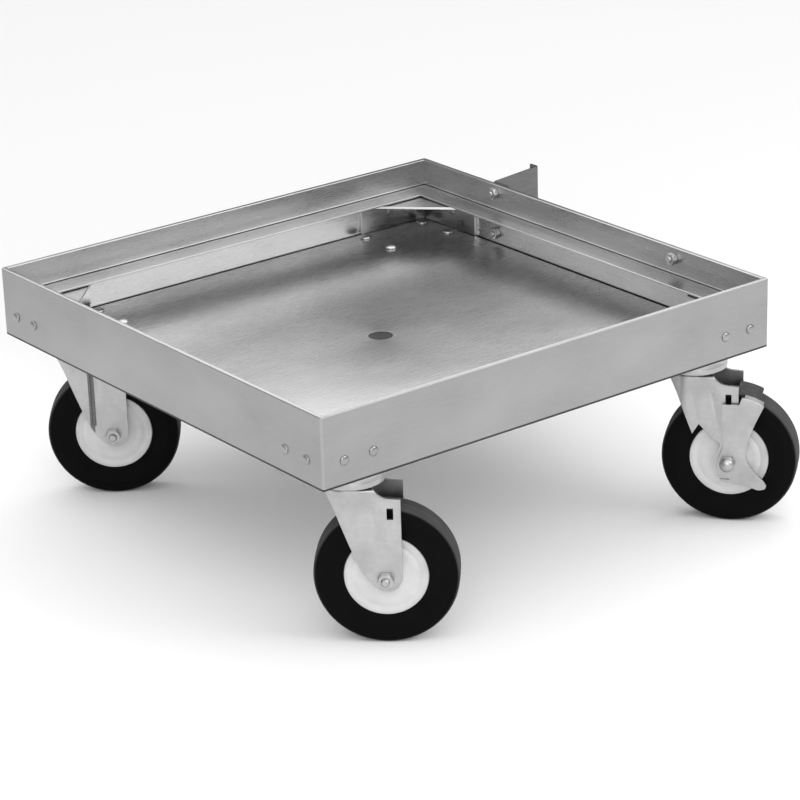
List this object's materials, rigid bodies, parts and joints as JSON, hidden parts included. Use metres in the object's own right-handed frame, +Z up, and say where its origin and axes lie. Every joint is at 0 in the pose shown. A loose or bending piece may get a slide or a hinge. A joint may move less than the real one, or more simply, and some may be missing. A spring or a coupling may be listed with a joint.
{
  "type": "rack dolly",
  "caption": "Low square stainless-steel rack dolly: an open tray with an inner ledge and a drained pan, a side handle bracket, and four swivel casters, one braked.",
  "frame": {"origin": "on the ground, under the middle of the outline seen from above", "axes": "+Z up; +Y towards the back wall; +X towards the wall with the handle bracket"},
  "size_m": [0.5904, 0.5738, 0.2422],
  "materials": {
    "stainless": "brushed",
    "zinc": "bright zinc plated",
    "core": "satin",
    "rubber": "matt",
    "dark_steel": "dark oxide"
  },
  "bodies": {
    "tray": {"front_rail": "stainless", "front_ledge_angle": "stainless", "right_rail": "stainless", "right_ledge_angle": "stainless", "back_rail": "stainless", "back_ledge_angle": "stainless", "left_rail": "stainless", "left_ledge_angle": "stainless", "floor_pan": "stainless", "front_left_corner_bracket": "stainless", "front_right_corner_bracket": "stainless", "back_left_corner_bracket": "stainless", "back_right_corner_bracket": "stainless", "handle_bracket": "stainless", "handle_bolt_upper": "zinc", "handle_nut_upper": "zinc", "handle_bolt_lower": "zinc", "handle_nut_lower": "zinc", "handle_bolt_spare": "zinc", "handle_nut_spare": "zinc", "front_left_top_plate": "zinc", "front_left_kingpin": "zinc", "front_right_top_plate": "zinc", "front_right_kingpin": "zinc", "back_left_top_plate": "zinc", "back_left_kingpin": "zinc", "back_right_top_plate": "zinc", "back_right_kingpin": "zinc"},
    "front_left_swivel": {"front_left_fork": "zinc", "front_left_ball_race": "dark_steel", "front_left_axle_bolt": "zinc", "front_left_axle_nut": "zinc", "front_left_axle_sleeve": "zinc"},
    "front_left_wheel": {"front_left_wheel_core": "core", "front_left_tyre": "rubber"},
    "front_right_swivel": {"front_right_fork": "zinc", "front_right_ball_race": "dark_steel", "front_right_axle_bolt": "zinc", "front_right_axle_nut": "zinc", "front_right_axle_sleeve": "zinc", "brake_washer": "zinc"},
    "front_right_wheel": {"front_right_wheel_core": "core", "front_right_tyre": "rubber"},
    "back_left_swivel": {"back_left_fork": "zinc", "back_left_ball_race": "dark_steel", "back_left_axle_bolt": "zinc", "back_left_axle_nut": "zinc", "back_left_axle_sleeve": "zinc"},
    "back_left_wheel": {"back_left_wheel_core": "core", "back_left_tyre": "rubber"},
    "back_right_swivel": {"back_right_fork": "zinc", "back_right_ball_race": "dark_steel", "back_right_axle_bolt": "zinc", "back_right_axle_nut": "zinc", "back_right_axle_sleeve": "zinc"},
    "back_right_wheel": {"back_right_wheel_core": "core", "back_right_tyre": "rubber"},
    "brake": {"brake_lever": "zinc", "brake_shoe": "dark_steel"}
  },
  "joints": [
    {"name": "front_left_swivel", "type": "hinge", "parent": "tray", "child": "front_left_swivel", "pos_m": [-0.23475, -0.20249, 0.153], "axis": [0, 0, 1], "continuous": true},
    {"name": "front_right_swivel", "type": "hinge", "parent": "tray", "child": "front_right_swivel", "pos_m": [0.17625, -0.20249, 0.153], "axis": [0, 0, 1], "continuous": true},
    {"name": "back_left_swivel", "type": "hinge", "parent": "tray", "child": "back_left_swivel", "pos_m": [-0.23475, 0.24451, 0.153], "axis": [0, 0, 1], "continuous": true},
    {"name": "back_right_swivel", "type": "hinge", "parent": "tray", "child": "back_right_swivel", "pos_m": [0.17625, 0.24451, 0.153], "axis": [0, 0, 1], "continuous": true},
    {"name": "front_left_wheel", "type": "hinge", "parent": "front_left_swivel", "child": "front_left_wheel", "pos_m": [-0.21211, -0.22217, 0.0655], "axis": [0.6561, 0.7547, 0], "continuous": true},
    {"name": "front_right_wheel", "type": "hinge", "parent": "front_right_swivel", "child": "front_right_wheel", "pos_m": [0.19907, -0.22969, 0.0655], "axis": [0.766, 0.6428, 0], "continuous": true},
    {"name": "back_left_wheel", "type": "hinge", "parent": "back_left_swivel", "child": "back_left_wheel", "pos_m": [-0.21079, 0.22645, 0.0655], "axis": [0.6018, 0.7986, 0], "continuous": true},
    {"name": "back_right_wheel", "type": "hinge", "parent": "back_right_swivel", "child": "back_right_wheel", "pos_m": [0.19989, 0.22604, 0.0655], "axis": [0.6157, 0.788, 0], "continuous": true},
    {"name": "brake_pedal", "type": "hinge", "parent": "front_right_swivel", "child": "brake", "pos_m": [0.19907, -0.22969, 0.0655], "axis": [0.766, 0.6428, 0], "range_deg": [0, 14]}
  ]
}
